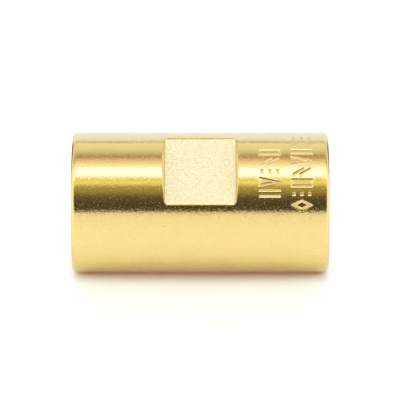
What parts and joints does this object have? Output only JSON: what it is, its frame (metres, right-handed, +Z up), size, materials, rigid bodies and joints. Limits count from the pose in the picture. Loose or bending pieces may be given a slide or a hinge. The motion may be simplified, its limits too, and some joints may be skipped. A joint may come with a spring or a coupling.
{
  "type": "coaxial adapter",
  "caption": "Gold-plated round barrel adapter that joins miniature push-on coaxial connectors end to end, with a socket and centre pin at each end and wrench flats.",
  "frame": {"origin": "on the barrel's axis, half way between the two end faces", "axes": "+X along the axis towards the marked end, +Z up with the barrel lying on its side, the front wrench flat facing between -Y and +Z"},
  "size_m": [0.01, 0.0054, 0.0054],
  "materials": {
    "gold_plated_brass": "bright gold plate over turned brass, matt on the wrench flats",
    "gold_plated_bush": "gold plate over turned brass, fine turning marks",
    "white_ptfe": "white turned fluoropolymer, waxy",
    "gold_plated_pin": "polished gold plate over copper alloy"
  },
  "bodies": {
    "root": {"barrel_body": "gold_plated_brass", "left_retaining_bush": "gold_plated_bush", "right_retaining_bush": "gold_plated_bush", "left_support_bead": "white_ptfe", "right_support_bead": "white_ptfe", "centre_conductor": "gold_plated_pin"}
  },
  "joints": []
}
